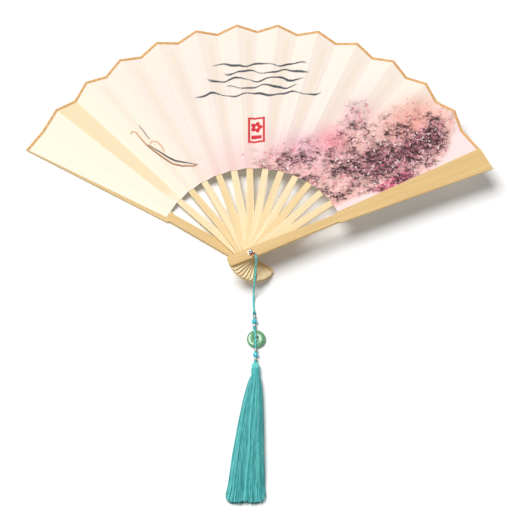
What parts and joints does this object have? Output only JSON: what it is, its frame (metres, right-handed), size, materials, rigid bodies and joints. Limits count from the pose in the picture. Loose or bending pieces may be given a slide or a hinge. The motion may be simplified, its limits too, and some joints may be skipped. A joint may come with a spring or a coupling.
{
  "type": "folding hand fan",
  "caption": "Open folding fan of flat wooden sticks on one rivet, with a pleated printed cloth leaf and a beaded cord tassel, for fanning by hand.",
  "frame": {"origin": "on the rivet's axis, in the plane of the back guard's outer face, which is the underside of the open fan", "axes": "+Z along the rivet towards its ball end, which is the painted side; +Y towards the leaf; +X towards the front guard"},
  "size_m": [0.383, 0.4157, 0.0284],
  "materials": {
    "guard_wood": "satin",
    "rib_wood": "satin",
    "rivet_metal": "polished",
    "copper_wire": "polished",
    "silver_metal": "polished",
    "leaf_cloth": "matte",
    "cord_thread": "satin",
    "tassel_thread": "satin",
    "turquoise_glaze": "glossy",
    "jade": "polished"
  },
  "bodies": {
    "front_guard": {"front_guard": "guard_wood", "leaf_end_front": "leaf_cloth", "rivet_pin": "rivet_metal", "rivet_ball": "rivet_metal", "front_washer": "rivet_metal", "back_washer": "rivet_metal"},
    "rib_12": {"rib_12": "rib_wood", "leaf_panel_12": "leaf_cloth", "leaf_fold_12": "leaf_cloth"},
    "rib_11": {"rib_11": "rib_wood", "leaf_panel_11": "leaf_cloth", "leaf_fold_11": "leaf_cloth"},
    "rib_10": {"rib_10": "rib_wood", "leaf_panel_10": "leaf_cloth", "leaf_fold_10": "leaf_cloth"},
    "rib_09": {"rib_09": "rib_wood", "leaf_panel_09": "leaf_cloth", "leaf_fold_09": "leaf_cloth"},
    "rib_08": {"rib_08": "rib_wood", "leaf_panel_08": "leaf_cloth", "leaf_fold_08": "leaf_cloth"},
    "rib_07": {"rib_07": "rib_wood", "leaf_panel_07": "leaf_cloth", "leaf_fold_07": "leaf_cloth"},
    "rib_06": {"rib_06": "rib_wood", "leaf_panel_06": "leaf_cloth", "leaf_fold_06": "leaf_cloth"},
    "rib_05": {"rib_05": "rib_wood", "leaf_panel_05": "leaf_cloth", "leaf_fold_05": "leaf_cloth"},
    "rib_04": {"rib_04": "rib_wood", "leaf_panel_04": "leaf_cloth", "leaf_fold_04": "leaf_cloth"},
    "rib_03": {"rib_03": "rib_wood", "leaf_panel_03": "leaf_cloth", "leaf_fold_03": "leaf_cloth"},
    "rib_02": {"rib_02": "rib_wood", "leaf_panel_02": "leaf_cloth", "leaf_fold_02": "leaf_cloth"},
    "rib_01": {"rib_01": "rib_wood", "leaf_panel_01": "leaf_cloth", "leaf_fold_01": "leaf_cloth"},
    "back_guard": {"back_guard": "guard_wood", "leaf_end_back": "leaf_cloth", "leaf_fold_00": "leaf_cloth"},
    "tassel": {"tassel_link": "copper_wire", "tassel_cord": "cord_thread", "cord_knots": "cord_thread", "spacer_beads": "silver_metal", "round_beads": "turquoise_glaze", "jade_disc": "jade", "tassel_cap": "cord_thread", "tassel_binding": "cord_thread", "tassel_skirt": "tassel_thread"}
  },
  "joints": [
    {"name": "rib_12_turn", "type": "hinge", "parent": "front_guard", "child": "rib_12", "pos_m": [0, 0, 0], "axis": [0, 0, -1], "range_deg": [0, 11.2], "deforming": ["leaf_fold_12"]},
    {"name": "rib_11_turn", "type": "hinge", "parent": "rib_12", "child": "rib_11", "pos_m": [0, 0, 0], "axis": [0, 0, -1], "range_deg": [0, 9.34], "deforming": ["leaf_fold_11"]},
    {"name": "rib_10_turn", "type": "hinge", "parent": "rib_11", "child": "rib_10", "pos_m": [0, 0, 0], "axis": [0, 0, -1], "range_deg": [0, 9.34], "deforming": ["leaf_fold_10"]},
    {"name": "rib_09_turn", "type": "hinge", "parent": "rib_10", "child": "rib_09", "pos_m": [0, 0, 0], "axis": [0, 0, -1], "range_deg": [0, 9.34], "deforming": ["leaf_fold_09"]},
    {"name": "rib_08_turn", "type": "hinge", "parent": "rib_09", "child": "rib_08", "pos_m": [0, 0, 0], "axis": [0, 0, -1], "range_deg": [0, 9.34], "deforming": ["leaf_fold_08"]},
    {"name": "rib_07_turn", "type": "hinge", "parent": "rib_08", "child": "rib_07", "pos_m": [0, 0, 0], "axis": [0, 0, -1], "range_deg": [0, 9.34], "deforming": ["leaf_fold_07"]},
    {"name": "rib_06_turn", "type": "hinge", "parent": "rib_07", "child": "rib_06", "pos_m": [0, 0, 0], "axis": [0, 0, -1], "range_deg": [0, 9.34], "deforming": ["leaf_fold_06"]},
    {"name": "rib_05_turn", "type": "hinge", "parent": "rib_06", "child": "rib_05", "pos_m": [0, 0, 0], "axis": [0, 0, -1], "range_deg": [0, 9.34], "deforming": ["leaf_fold_05"]},
    {"name": "rib_04_turn", "type": "hinge", "parent": "rib_05", "child": "rib_04", "pos_m": [0, 0, 0], "axis": [0, 0, -1], "range_deg": [0, 9.34], "deforming": ["leaf_fold_04"]},
    {"name": "rib_03_turn", "type": "hinge", "parent": "rib_04", "child": "rib_03", "pos_m": [0, 0, 0], "axis": [0, 0, -1], "range_deg": [0, 9.34], "deforming": ["leaf_fold_03"]},
    {"name": "rib_02_turn", "type": "hinge", "parent": "rib_03", "child": "rib_02", "pos_m": [0, 0, 0], "axis": [0, 0, -1], "range_deg": [0, 9.34], "deforming": ["leaf_fold_02"]},
    {"name": "rib_01_turn", "type": "hinge", "parent": "rib_02", "child": "rib_01", "pos_m": [0, 0, 0], "axis": [0, 0, -1], "range_deg": [0, 9.34], "deforming": ["leaf_fold_01"]},
    {"name": "back_guard_turn", "type": "hinge", "parent": "rib_01", "child": "back_guard", "pos_m": [0, 0, 0], "axis": [0, 0, -1], "range_deg": [0, 11.2], "deforming": ["leaf_fold_00"]},
    {"name": "tassel_swing", "type": "hinge", "parent": "front_guard", "child": "tassel", "pos_m": [0, 0, 0.02488], "axis": [0, 0, 1], "range_deg": [0, 25]}
  ],
  "couplings": [
    {"joint": "rib_11_turn", "follows": "rib_12_turn", "ratio": 0.833},
    {"joint": "rib_10_turn", "follows": "rib_12_turn", "ratio": 0.833},
    {"joint": "rib_09_turn", "follows": "rib_12_turn", "ratio": 0.833},
    {"joint": "rib_08_turn", "follows": "rib_12_turn", "ratio": 0.833},
    {"joint": "rib_07_turn", "follows": "rib_12_turn", "ratio": 0.833},
    {"joint": "rib_06_turn", "follows": "rib_12_turn", "ratio": 0.833},
    {"joint": "rib_05_turn", "follows": "rib_12_turn", "ratio": 0.833},
    {"joint": "rib_04_turn", "follows": "rib_12_turn", "ratio": 0.833},
    {"joint": "rib_03_turn", "follows": "rib_12_turn", "ratio": 0.833},
    {"joint": "rib_02_turn", "follows": "rib_12_turn", "ratio": 0.833},
    {"joint": "rib_01_turn", "follows": "rib_12_turn", "ratio": 0.833},
    {"joint": "back_guard_turn", "follows": "rib_12_turn", "ratio": 1}
  ]
}
